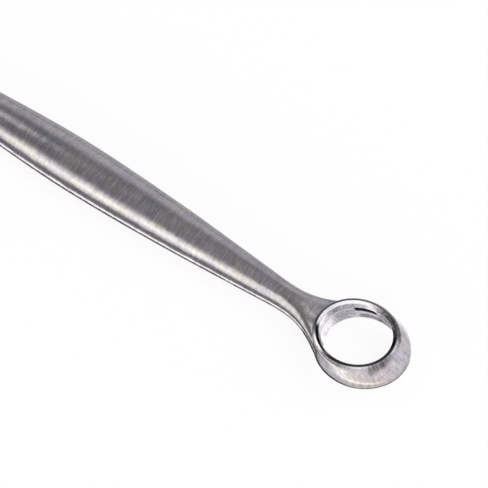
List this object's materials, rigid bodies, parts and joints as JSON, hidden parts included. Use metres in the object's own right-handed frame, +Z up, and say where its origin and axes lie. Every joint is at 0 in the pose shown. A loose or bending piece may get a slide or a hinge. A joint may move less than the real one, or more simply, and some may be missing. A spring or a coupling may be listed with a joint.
{
  "type": "dermal curette",
  "caption": "Slim steel hand instrument with a swelling handle and a sharp open ring at its end, for scraping small growths off skin.",
  "frame": {"origin": "middle of the instrument's length and width, at the lowest point of the handle where it rests", "axes": "+X along the handle from its rounded rear end to the ring, +Z up through the ring towards its sharp edge"},
  "size_m": [0.145, 0.0098, 0.0049],
  "materials": {
    "steel": "satin"
  },
  "bodies": {
    "root": {"curette": "steel"}
  },
  "joints": []
}
